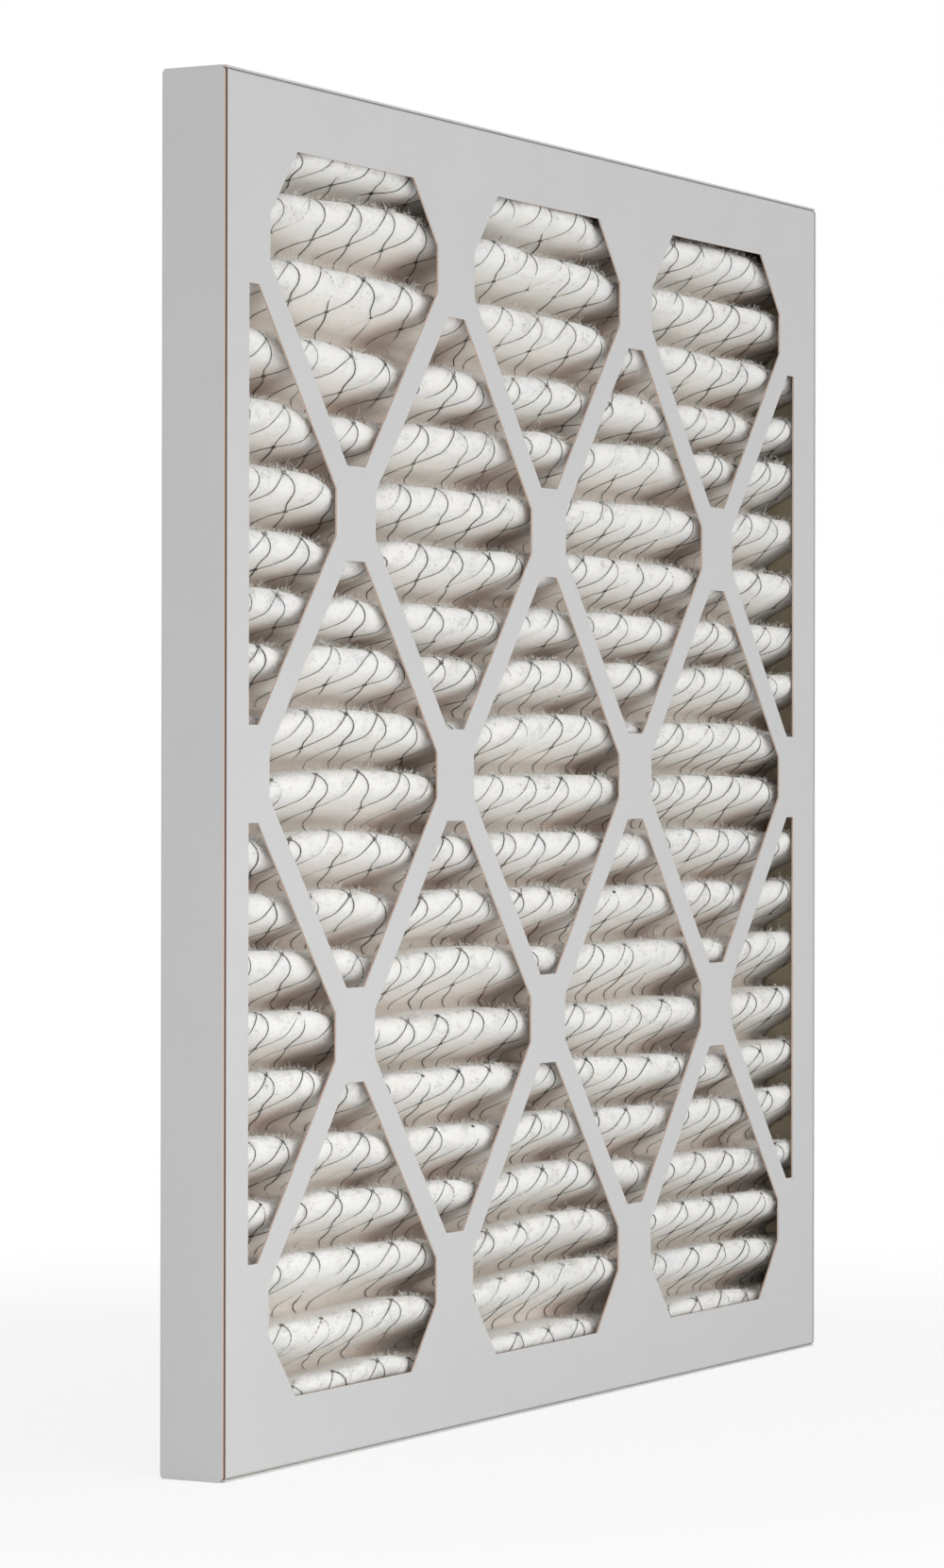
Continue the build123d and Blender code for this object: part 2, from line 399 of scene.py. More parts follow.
@dataclass(frozen=True)
class NonwovenFibre:
    """Dry-laid cotton and polyester fibre, bonded to a soft thick sheet.

    It is warm white and matted. Light soaks through it, so that its shades are soft and a little warm, and it
    swells up between the strands of the net. Shade is also painted into its colour: darker over the flanks,
    darker and warmer in the valleys, and brown as painted shadow in the hollows behind the struts.
    """

    name: str = "nonwoven_fibre_matted"
    white: str = "#EEEDEA"
    # Painted shade: the flanks darker, and the valleys darker and warmer, by fold depth.
    painted_flank_shade: str = "#EAE7E2"
    painted_valley_shade: str = "#E2DBD3"
    # Painted shadow behind the struts, brown as painted bounce light off the bare pulp.
    shaded: str = "#CBBBAE"
    # Fold depths over which the painted flank shade and the painted valley shade come in.
    flank_band: tuple[float, float] = (0.18, 0.42)
    valley_band: tuple[float, float] = (0.6, 0.95)
    tuft: float = 3.2 * MM
    # Fibres are some 0.02 mm thick, too fine to show, so that their pattern is drawn this coarse.
    strand: float = 0.7 * MM
    tuft_depth: float = 0.45 * MM
    strand_depth: float = 0.12 * MM
    quilt_depth: float = 1.1 * MM
    soak: float = 3.5 * MM

    def build(self) -> bpy.types.Material:
        """Build the material.

        The attribute `fold_depth` runs from 0 on a crest to 1 in a valley, and lays painted shade over the
        flanks and deeper painted shade in the valleys. `net_first` and `net_second` are whole numbers under
        the net's two families of strands. The swelling between them is the square root of
        |sin(pi net_first) sin(pi net_second)|. A further attribute is 1 in the hollows that a strut covers, which
        take painted shadow, tinted brown as painted bounce light off the bare pulp.

        Returns:
            The material.
        """
        material, tree, place = new_material(self.name)
        depth = add_node(tree, "ShaderNodeAttribute", attribute_name="fold_depth").outputs["Fac"]
        flank, valley = (
            add_node(tree, "ShaderNodeMapRange", {"Value": depth, "From Min": start, "From Max": finish},
                     interpolation_type="SMOOTHSTEP")
            for start, finish in (self.flank_band, self.valley_band))
        # Painted strut shadow, deep in the folds behind the struts.
        strut_shadow_share = add_node(tree, "ShaderNodeAttribute", attribute_name="painted_strut_shadow").outputs["Fac"]
        # Every layer over the white is painted shade or painted strut shadow.
        colour = lay_over(tree, self.white, [
            (flank, self.painted_flank_shade), (valley, self.painted_valley_shade), (strut_shadow_share, self.shaded)])
        tufts = add_node(tree, "ShaderNodeTexNoise", {
            "Vector": place, "Scale": 1 / self.tuft, "Detail": 3.0})
        strands = add_node(tree, "ShaderNodeTexNoise", {
            "Vector": place, "Scale": 1 / self.strand, "Detail": 5.0, "Distortion": 1.5})
        between = add_node(tree, "ShaderNodeMath", {
            0: self._wave(tree, "net_first"), 1: self._wave(tree, "net_second")}, operation="MULTIPLY")
        swelling = add_node(tree, "ShaderNodeMath", {0: between, 1: 0.5}, operation="POWER")
        quilt = add_node(tree, "ShaderNodeBump", {
            "Height": swelling, "Strength": 0.8, "Distance": self.quilt_depth})
        coarse = add_node(tree, "ShaderNodeBump", {
            "Height": tufts, "Strength": 0.7, "Distance": self.tuft_depth, "Normal": quilt})
        fine = add_node(tree, "ShaderNodeBump", {
            "Height": strands, "Strength": 0.8, "Distance": self.strand_depth, "Normal": coarse})
        shader = add_node(tree, "ShaderNodeBsdfPrincipled", {
            "Base Color": colour, "Roughness": 0.95, "IOR": 1.5, "Specular IOR Level": 0.15,
            "Subsurface Weight": 0.7, "Subsurface Radius": (1.0, 0.85, 0.7), "Subsurface Scale": self.soak,
            "Sheen Weight": 0.15, "Sheen Roughness": 0.5, "Normal": fine})
        add_node(tree, "ShaderNodeOutputMaterial", {"Surface": shader})
        return material

    @staticmethod
    def _wave(tree: bpy.types.NodeTree, name: str) -> bpy.types.Node:
        """Give |sin(pi value)| of an attribute, which is 0 under a strand and 1 half way between two.

        Args:
            tree: The material's node tree.
            name: The attribute's name.

        Returns:
            The node whose output it is.
        """
        value = add_node(tree, "ShaderNodeAttribute", attribute_name=name).outputs["Fac"]
        turned = add_node(tree, "ShaderNodeMath", {0: value, 1: math.pi}, operation="MULTIPLY")
        wave = add_node(tree, "ShaderNodeMath", {0: turned}, operation="SINE")
        return add_node(tree, "ShaderNodeMath", {0: wave}, operation="ABSOLUTE")


@dataclass(frozen=True)
class LooseFibre:
    """Single cotton and polyester fibres that stand off the sheet: white, thin and softly shining."""

    name: str = "loose_fibre_white"
    white: str = "#F7F6F3"
    ecru: str = "#E9E7E1"
    grain: float = 2 * MM

    def build(self) -> bpy.types.Material:
        """Build the material, slightly brighter and darker from place to place.

        Returns:
            The material.
        """
        material, tree, place = new_material(self.name)
        grain = add_node(tree, "ShaderNodeTexNoise", {
            "Vector": place, "Scale": 1 / self.grain, "Detail": 1.0})
        shader = add_node(tree, "ShaderNodeBsdfPrincipled", {
            "Base Color": lay_over(tree, self.white, [(grain, self.ecru)]), "Roughness": 0.8, "IOR": 1.5,
            "Specular IOR Level": 0.2})
        add_node(tree, "ShaderNodeOutputMaterial", {"Surface": shader})
        return material


@dataclass(frozen=True)
class SlitSteel:
    """Galvanised steel sheet, slit and drawn out to a net.

    The sheared strands are dull grey with darker cut sides, so that they flash or darken as they turn.
    """

    name: str = "galvanised_steel_expanded"
    zinc: str = "#93918A"
    sheared: str = "#454340"
    spangle: float = 6 * MM

    def build(self) -> bpy.types.Material:
        """Build the material, mottled as the zinc's spangles and the cut sides come and go.

        Returns:
            The material.
        """
        material, tree, place = new_material(self.name)
        spangle = add_node(tree, "ShaderNodeTexNoise", {
            "Vector": place, "Scale": 1 / self.spangle, "Detail": 3.0})
        spread = add_node(tree, "ShaderNodeMapRange", {"Value": spangle, "From Min": 0.35, "From Max": 0.65})
        shader = add_node(tree, "ShaderNodeBsdfPrincipled", {
            "Base Color": lay_over(tree, self.zinc, [(spread, self.sheared)]), "Metallic": 1.0,
            "Roughness": 0.45})
        add_node(tree, "ShaderNodeOutputMaterial", {"Surface": shader})
        return material


@dataclass(frozen=True)
class HotMeltAdhesive:
    """Hot-melt adhesive, laid as a bead and pressed: creamy, waxy and slightly uneven."""

    name: str = "hot_melt_adhesive_pressed"
    cream: str = "#DAD2BE"
    amber: str = "#C4B592"
    ripple: float = 4 * MM
    ripple_depth: float = 0.2 * MM

    def build(self) -> bpy.types.Material:
        """Build the material with slow ripples where the bead was pressed out.

        Returns:
            The material.
        """
        material, tree, place = new_material(self.name)
        ripple = add_node(tree, "ShaderNodeTexNoise", {
            "Vector": place, "Scale": 1 / self.ripple, "Detail": 2.0})
        bump = add_node(tree, "ShaderNodeBump", {
            "Height": ripple, "Strength": 0.5, "Distance": self.ripple_depth})
        shader = add_node(tree, "ShaderNodeBsdfPrincipled", {
            "Base Color": lay_over(tree, self.cream, [(ripple, self.amber)]), "Roughness": 0.35, "IOR": 1.48,
            "Normal": bump})
        add_node(tree, "ShaderNodeOutputMaterial", {"Surface": shader})
        return material


# ---------------------------------------------------------------------------------------------------
# The folded sheet's shape
# ---------------------------------------------------------------------------------------------------


@dataclass
class PleatPath:
    """The folded centre line of the sheet, and every surface that lies at some height over it.

    The line is walked in legs. In each pleat they are the upper half of a front crest, the flank to the
    back, the rear crest, the flank to the front, and the lower half of the next front crest. At each end
    the last crest turns on into a flat tail against the tray. A leg coordinate counts the legs, 5 to a
    pleat, and is 5k on the tip of front crest k, counted from the bottom.
    """

    pleats: int = 22
    thickness: float = 3 * MM
    bend: float = 3.5 * MM
    tail_legs: int = 2
    legs: int = 5
    # How far the valleys hang below the crests in front of them, at the bottom and at the top.
    lean: tuple[float, float] = (9.0 * MM, 4.5 * MM)
    # How far each crest from the top down sits off even spacing, in millimetres, at four places along X.
    wander_places: tuple[float, ...] = (-190 * MM, -100 * MM, 0.0, 150 * MM)
    wander: tuple[tuple[float, ...], ...] = (
        (5, 7.5, 5.5, 1, -3, -5, -6, -4, -1, -2.5, -3,
         -2, -1, 0, -1, -0.5, -2, -1.5, -0.5, -3, -1),
        (6, 9, 3, -4, -4.5, -5.5, -5, -5.5, -2.5, -4, -3.5,
         -5, -4.5, -4.5, -6.5, -5, -5, -3.5, -3, -2, -1),
        (2, 3, 1.5, -2, -1, -4, -4, -4.5, -2.5, -1.5, -3.5,
         -3.5, -3.5, -4.5, -7.5, -6, -5, -3.5, -1.5, 1, -1),
        (-1, -1.5, -2.5, -3, 0, -2, -4, -4, -2, -4, -4,
         -4.5, -4.5, -5.5, -8, -9, -6.5, -7.5, -5, -3, -2))
    board: float = 0.7 * MM
    clear_of_boards: float = 0.35 * MM
    sag: Ripple = Ripple(seed=11, length=110 * MM, height=0.7 * MM)
    sag_columns: int = 197
    lumps: Ripple = Ripple(seed=23, length=24 * MM, height=0.32 * MM, waves=14)
    flank_lumps: float = 0.35
    swells: Ripple = Ripple(seed=29, length=65 * MM, height=0.45 * MM)
    recess: Ripple = Ripple(seed=31, length=90 * MM, height=0.6 * MM)
    recess_pitch: float = 31 * MM
    lattice_pitch: tuple[float, float] = (151.8 * MM, 190.2 * MM)
    lattice_middle: tuple[float, float] = (-2.7 * MM, 247.5 * MM)
    strut_reach: float = 11 * MM
    strut_recess: float = 2.5 * MM
    strut_drop: float = 3.0 * MM
    low: Vector = field(default_factory=lambda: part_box("pleated_media")[0])
    high: Vector = field(default_factory=lambda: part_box("pleated_media")[1])

    def __post_init__(self) -> None:
        """Work out the fold from the sheet's box and lay its knots, one at the end of each leg.

        Over one half pleat the centre line runs from the front fold to the rear one and rises by half the
        pitch. A flank is the line that touches both of the folds' circles, so its length is the square root
        of run^2 + rise^2 - (2 bend)^2, and each fold turns by what the flank's slope leaves of a right angle.
        """
        outer = self.bend + self.thickness / 2
        self.front, self.rear = self.low.y + outer, self.high.y - outer
        self.first = self.low.z + outer
        self.pitch = (self.high.z - self.low.z - 2 * outer) / self.pleats
        run, rise = self.rear - self.front, self.pitch / 2
        slope = math.atan2(rise, run) - math.asin(2 * self.bend / math.hypot(run, rise))
        turn = math.pi / 2 - slope
        flank = math.sqrt(run ** 2 + rise ** 2 - (2 * self.bend) ** 2)
        crest, valley = turn * outer, 2 * turn * (self.bend - self.thickness / 2)
        bottom = self.first + self.pitch * np.arange(self.pleats)
        lift = bottom[:, None] + np.array([0, 0.5, 0.5, 1, 1]) * self.pitch
        quarter, tail = math.pi / 2, self.rear
        self.knots = np.arange(-self.tail_legs, self.legs * self.pleats + self.tail_legs + 1, dtype=float)
        self.centre_y = np.concatenate([[tail, self.front, self.front], np.tile(
            [self.front, self.rear, self.rear, self.front, self.front], self.pleats), [self.front, tail]])
        self.centre_z = np.concatenate([[self.first] * 3, lift.ravel(), [lift[-1, -1]] * 2])
        self.angle = np.concatenate([[-quarter, -quarter, 0], np.tile(
            [turn, turn, -turn, -turn, 0], self.pleats), [quarter, quarter]])
        self.arm = self.bend * np.concatenate([[1, 1, 1], np.tile([1, -1, -1, 1, 1], self.pleats), [1, 1]])
        steps = np.concatenate([[tail - self.front, quarter * outer], np.tile(
            [crest, flank, valley, flank, crest], self.pleats), [quarter * outer, tail - self.front]])
        self.walked = np.concatenate([[0.0], np.cumsum(steps)])
        self.walked -= self.walked[self.tail_legs]
        self.length = float(self.walked[-1] - self.walked[0])
        self.pleat_length = float(np.sum([crest, flank, valley, flank, crest]))

    def walked_at(self, leg: Array) -> Array:
        """Give the length walked over the front face up to leg coordinates, from the first crest's tip."""
        return np.interp(leg, self.knots, self.walked)

    def leg_at(self, walked: Array) -> Array:
        """Give the leg coordinates at lengths walked over the front face."""
        return np.interp(walked, self.walked, self.knots)

    def _wander(self, x: Array) -> Array:
        """Give each crest's height off even spacing.

        From the value a at one place of the table to b at the next it is a + (b - a) (3 s^2 - 2 s^3), where s
        is the share of the way.

        Args:
            x: Places along the pleats, in one row.

        Returns:
            The heights at those places, one row for each crest from the bottom up.
        """
        table = np.array(self.wander)[:, ::-1] * MM
        spots = np.array(self.wander_places)
        number = np.clip(np.searchsorted(spots, x) - 1, 0, len(spots) - 2)
        share = np.clip((x - spots[number]) / (spots[number + 1] - spots[number]), 0, 1)
        share = (3 - 2 * share) * share ** 2
        inner = table[number].T * (1 - share) + table[number + 1].T * share
        ends = np.zeros((1, len(x)))
        return np.vstack([ends, inner, ends])

    def pinch(self, x: Array, z: Array) -> Array:
        """Give how far the struts of the front lattice hold a crest down, from 0 in a window to 1.

        With a = x / column pitch + z / row pitch and b the same with a minus, measured from the lattice's
        middle, struts lie where a or b is half way between whole numbers. Each holds by exp(-(d / reach)^2)
        at distance d, and two together by 1 - (1 - first) (1 - second).

        Args:
            x: Places along the pleats.
            z: Heights in the front face, shaped like `x`.

        Returns:
            The hold at those places.
        """
        across, up = self.lattice_pitch
        a = (x - self.lattice_middle[0]) / across
        b = (z - self.lattice_middle[1]) / up
        apart = 1 / math.hypot(1 / across, 1 / up) / self.strut_reach
        free = 1.0
        for line in (a + b, a - b):
            free = free * (1 - np.exp(-(apart * (line - np.floor(line) - 0.5)) ** 2))
        return 1 - free

    def _slides(self, x: Array, leg: Array) -> tuple[Array, Array, Array]:
        """Give how far each point's crest and valley slide in Z, and its crest's number.

        A crest slides by its wander and a slow sag. A valley slides by the mean of its neighbours' less the
        lean, which shrinks evenly from the bottom up. The first and last folds stay put.

        Args:
            x: Places along the pleats.
            leg: Leg coordinates, shaped like `x`.

        Returns:
            The crest's slide, the valley's slide and the crest's number from the bottom.
        """
        columns = np.linspace(self.low.x, self.high.x, self.sag_columns)
        numbers = np.arange(self.pleats + 1)[:, None]
        inside = (numbers > 0) & (numbers < self.pleats)
        crests = self._wander(columns) + inside * self.sag.at(columns[None, :], numbers * self.pitch)
        ends = np.zeros((1, len(columns)))
        lean = np.linspace(*self.lean, self.pleats)[:, None]
        valleys = np.vstack([ends, (crests[1:] + crests[:-1]) / 2 - lean, ends])
        spot = np.clip((x - columns[0]) / (columns[1] - columns[0]), 0, len(columns) - 1.001)
        column = spot.astype(int)
        part = spot - column
        crest = np.clip(np.rint(leg / self.legs).astype(int), 0, self.pleats)
        valley = np.clip(np.floor(leg / self.legs).astype(int) + 1, 0, self.pleats + 1)
        crest_slide = crests[crest, column] * (1 - part) + crests[crest, column + 1] * part
        valley_slide = valleys[valley, column] * (1 - part) + valleys[valley, column + 1] * part
        return crest_slide, valley_slide, crest

    def place(self, x: Array, leg: Array, height: float | Array = 0.0) -> tuple[Array, Array]:
        """Give points over the centre line, and the front-side normals there.

        The point is the fold's centre plus arm and height times the normal (-cos a, sin a) in Y and Z, with
        centre, arm and angle a straight between knots. Lumps and swells add to the height. Then the point
        slides in Z with its crest and its valley, by their shares of the depth. The struts push the crests
        back and down, and the boards press flat whatever would reach them.

        Args:
            x: Places along the pleats, one column each or shaped like `leg`.
            leg: Leg coordinates.
            height: Height over the centre line towards the front side.

        Returns:
            Points and unit normals, with a last axis of three.
        """
        x, leg = np.broadcast_arrays(x, leg)
        angle = np.interp(leg, self.knots, self.angle)
        walked = self.walked_at(leg)
        crest_share = np.cos(angle) ** 2
        beyond = abs(height) - self.thickness / 2
        lumps = self.lumps.at(x, walked) * (self.flank_lumps + crest_share)
        height = height + np.sign(height) * (lumps + self.swells.at(x, walked) * crest_share)
        arm = np.interp(leg, self.knots, self.arm) + height
        y = np.interp(leg, self.knots, self.centre_y) - arm * np.cos(angle)
        z = np.interp(leg, self.knots, self.centre_z) + arm * np.sin(angle)
        back = np.clip((y - self.low.y) / (self.high.y - self.low.y), 0, 1)
        crest_slide, valley_slide, crest = self._slides(x, leg)
        held = self.pinch(x, self.first + crest * self.pitch + crest_slide)
        z = z + (1 - back) * (crest_slide - self.strut_drop * held) + back * valley_slide
        recess = np.abs(self.recess.at(x, crest * self.recess_pitch))
        y = y + (1 - back) * (recess + self.strut_recess * held)
        room = self.board + self.clear_of_boards - np.maximum(beyond, 0)
        points = within_boards(np.stack([x, y, z], axis=-1), room)
        normals = np.stack([np.zeros_like(y), -np.cos(angle), np.sin(angle)], axis=-1)
        return points, unit(normals)


# ---------------------------------------------------------------------------------------------------
# Sub-assemblies
# ---------------------------------------------------------------------------------------------------


@dataclass
class WireNet:
    """The expanded metal net that lies on the front of the sheet and holds its pleats.

    Over the unfolded sheet its meshes are diamonds. Strands join a knot to the two nearest of the next row.
    They leave it nearly level and turn steep half way, and the whole net runs askew and is drawn unevenly.
    """

    path: PleatPath
    mesh_width: float = 27 * MM
    rows_per_pleat: int = 3
    first_row: float = 3.4 * MM
    strand_width: float = 0.36 * MM
    strand_height: float = 0.26 * MM
    strand_spread: tuple[float, float] = (0.45, 1.3)
    strand_seed: int = 7
    steps: int = 8
    skew: float = 0.08
    turn: float = 0.085
    side_margin: float = 2 * MM
    knot_length: float = 2.6 * MM
    knot_width: float = 1.5 * MM
    knot_height: float = 0.416 * MM
    knot_taper: tuple[float, float, float] = (0.2, 1.0, 0.2)
    lift: float = 0.03 * MM
    drift: Ripple = Ripple(seed=41, length=140 * MM, height=3.4 * MM)
    uneven_across: Ripple = Ripple(seed=43, length=42 * MM, height=1.5 * MM, waves=12)
    uneven_along: Ripple = Ripple(seed=47, length=46 * MM, height=1.3 * MM, waves=12)
    sink: Ripple = Ripple(seed=53, length=30 * MM, height=0.3 * MM, waves=12)
    # How deep the fibres close over the strands on the upper side of a pleat, and the legs where that starts,
    # is full, starts to end and ends.
    buried: float = 0.6 * MM
    buried_legs: tuple[float, float, float, float] = (0.75, 0.95, 1.9, 2.3)

    def __post_init__(self) -> None:
        """Work out the spacing of the rows along the sheet."""
        self.row_step = self.path.pleat_length / self.rows_per_pleat
        self.middle = self.path.pleat_length * self.path.pleats / 2

    def _shift(self, x: Array, walked: Array) -> tuple[Array, Array]:
        """Give how far a point of the even net is drawn off its place, along X and along the sheet."""
        askew = self.skew * (walked - self.middle)
        return (askew + self.drift.at(x, walked) + self.uneven_across.at(x, walked),
                self.first_row + self.uneven_along.at(x, walked))

    def families_at(self, x: Array, leg: Array) -> tuple[Array, Array]:
        """Give the two coordinates that are whole numbers under the two families of strands.

        With r the row and t = r + turn * sin(2 pi r), they are x / mesh width - t / 2 and + t / 2, after the
        net's shift is taken off x and off the walked length.

        Args:
            x: Places along the pleats.
            leg: Leg coordinates.

        Returns:
            The coordinates across the first and the second family.
        """
        x, leg = np.broadcast_arrays(x, leg)
        walked = self.path.walked_at(leg)
        across, along = self._shift(x, walked)
        row = (walked - along) / self.row_step
        turned = row + self.turn * np.sin(2 * math.pi * row)
        level = (x - across) / self.mesh_width
        return level - turned / 2, level + turned / 2

    def _knots(self) -> tuple[Array, Array]:
        """Give the X place and walked length of every crossing, by row and column.

        Row r lies r row steps along the sheet, and column c at (c + half of r's oddness) mesh widths, less
        the whole meshes that the skew has shifted the row by, so that every row spans the sheet. The net's
        own shift is added to both.

        Returns:
            The X places and the walked lengths.
        """
        rows = self.rows_per_pleat * self.path.pleats
        reach = int(1.3 * self.path.high.x / self.mesh_width) + 6
        row, column = np.meshgrid(np.arange(rows), np.arange(-reach, reach + 1), indexing="ij")
        walked = row * self.row_step
        x = (column + 0.5 * (row % 2)) * self.mesh_width
        x = x - np.rint(self.skew * (walked - self.middle) / self.mesh_width) * self.mesh_width
        across, along = self._shift(x, walked)
        return x + across, walked + along

    def _strand_ends(self, x: Array, walked: Array) -> tuple[Array, Array]:
        """Give the X place and walked length of both ends of every strand.

        From row r each crossing sends one strand to either neighbour of row r + 1. A row's columns may start
        some whole meshes further along than the last row's, which `slip` counts.

        Args:
            x: The X places of the crossings, by row and column.
            walked: Their walked lengths.

        Returns:
            The lower ends and the upper ends, one row each.
        """
        starts, ends = [], []
        for parity, shift in ((0, -1), (0, 0), (1, 0), (1, 1)):
            rows = np.arange(parity, len(x) - 1, 2)
            columns = np.arange(1, x.shape[1] - 1)
            here = (rows[:, None], columns[None, :])
            slip = np.rint((x[rows + 1, 0] - x[rows, 0]) / self.mesh_width - 0.5 * (1 - 2 * parity))
            there = (rows[:, None] + 1, (columns[None, :] + shift - slip[:, None].astype(int)) % x.shape[1])
            starts.append(np.stack([x[here], walked[here]], -1).reshape(-1, 2))
            ends.append(np.stack([x[there], walked[there]], -1).reshape(-1, 2))
        start, end = np.concatenate(starts), np.concatenate(ends)
        limit = self.path.high.x - self.side_margin
        keep = (np.abs(start[:, 0]) < limit) & (np.abs(end[:, 0]) < limit)
        keep &= np.abs(end[:, 0] - start[:, 0]) < self.mesh_width
        return start[keep], end[keep]

    def build(self) -> bpy.types.Object:
        """Build strands and their bonded crossings as one piece of closed four-sided bars.

        With s the share of the way along the sheet, a strand's X goes from one end to the other by
        s + turn * sin(2 pi s). A crossing is a short level bar, widest in its middle.

        Returns:
            The whole net.
        """
        x, walked = self._knots()
        start, end = self._strand_ends(x, walked)
        along = np.linspace(0, 1, self.steps + 1)
        leg_start, leg_end = self.path.leg_at(start[:, 1]), self.path.leg_at(end[:, 1])
        leg = leg_start[:, None] + (leg_end - leg_start)[:, None] * along
        share = (self.path.walked_at(leg) - start[:, 1:]) / (end[:, 1:] - start[:, 1:])
        eased = share + self.turn * np.sin(2 * math.pi * share)
        line, normal = self._over_sheet(start[:, :1] + (end[:, :1] - start[:, :1]) * eased, leg)
        draw = np.random.default_rng(self.strand_seed)
        size = draw.uniform(*self.strand_spread, (len(line), 1)) * np.ones(self.steps + 1)
        strands = self._bars(line, normal, size * self.strand_width / 2, self.strand_height / 2)

        at = np.abs(x) < self.path.high.x - self.side_margin
        offsets = np.linspace(-0.5, 0.5, len(self.knot_taper)) * self.knot_length
        level = np.repeat(self.path.leg_at(walked[at])[:, None], len(offsets), axis=1)
        line, normal = self._over_sheet(x[at][:, None] + offsets, level)
        half_width = np.array([self.knot_taper]) * self.knot_width / 2
        knots = self._bars(line, normal, half_width, self.knot_height / 2)
        points = np.concatenate([strands[0], knots[0]])
        faces = np.concatenate([strands[1], knots[1] + len(strands[0])])
        piece = mesh_piece("expanded_metal_net", points, faces, smooth=False)
        dress(piece, SlitSteel().build())
        return piece

    def _over_sheet(self, x: Array, leg: Array) -> tuple[Array, Array]:
        """Give points and normals just over the sheet, or in it where the fibres close over a strand.

        They do so here and there, and all along the upper side of each pleat.

        Args:
            x: Places along the pleats.
            leg: Leg coordinates, shaped like `x`.

        Returns:
            Points and unit normals, with a last axis of three.
        """
        sunk = np.maximum(self.sink.at(x, self.path.walked_at(leg)), 0)
        sunk = sunk + self.buried * np.interp(leg % self.path.legs, self.buried_legs, (0, 1, 1, 0))
        return self.path.place(x, leg, self.path.thickness / 2 + self.strand_height / 2 + self.lift - sunk)

    @staticmethod
    def _bars(
            line: Array, normal: Array, half_width: Array,
            half_height: float) -> tuple[Array, NDArray[np.int64]]:
        """Carry a flat four-sided section along lines, with closed ends.

        Each ring has the corners centre plus or minus half_width times the sideways direction, plus or minus
        half_height times the normal; the sideways direction is the normal crossed with the line's own.

        Args:
            line: Centres, by bar, step and coordinate.
            normal: Unit normals at those centres.
            half_width: Half the section's width, by bar and step.
            half_height: Half the section's height.

        Returns:
            Vertex places and four-cornered faces.
        """
        bars, steps = line.shape[:2]
        direction = unit(np.gradient(line, axis=1))
        sideways = unit(np.cross(normal, direction))
        normal = np.cross(direction, sideways)
        wide = half_width[:, :, None] * sideways
        tall = half_height * normal
        rings = np.stack([line + wide + tall, line - wide + tall, line - wide - tall, line + wide - tall], 2)
        number = np.arange(bars * steps * 4).reshape(bars, steps, 4)
        around = np.roll(number, -1, axis=2)
        walls = np.stack([number[:, :-1], around[:, :-1], around[:, 1:], number[:, 1:]], -1).reshape(-1, 4)
        caps = np.concatenate([number[:, 0, ::-1], number[:, -1]])
        return rings.reshape(-1, 3), np.concatenate([walls, caps])


@dataclass(frozen=True)
class NapBand:
    """One band of loose fibres along the folds.

    The legs are those of the fold it grows on: `middle` and `spread` say how far off that fold's tip its
    fibres sit, in legs. `steepest` is the most that a fibre leans out of the sheet, in degrees.
    """

    side: Side
    count: int
    middle: float
    spread: float
    steepest: float
    seed: int


class Nap(Enum):
    """The bands of loose fibres: on the front crests, along their upper edges and on the rear crests."""

    FRONT = NapBand(Side.FRONT, 32000, 0.0, 0.7, 50.0, 5)
    FRINGE = NapBand(Side.FRONT, 33000, 0.75, 0.25, 90.0, 8)
    REAR = NapBand(Side.REAR, 20000, 0.0, 0.7, 60.0, 6)


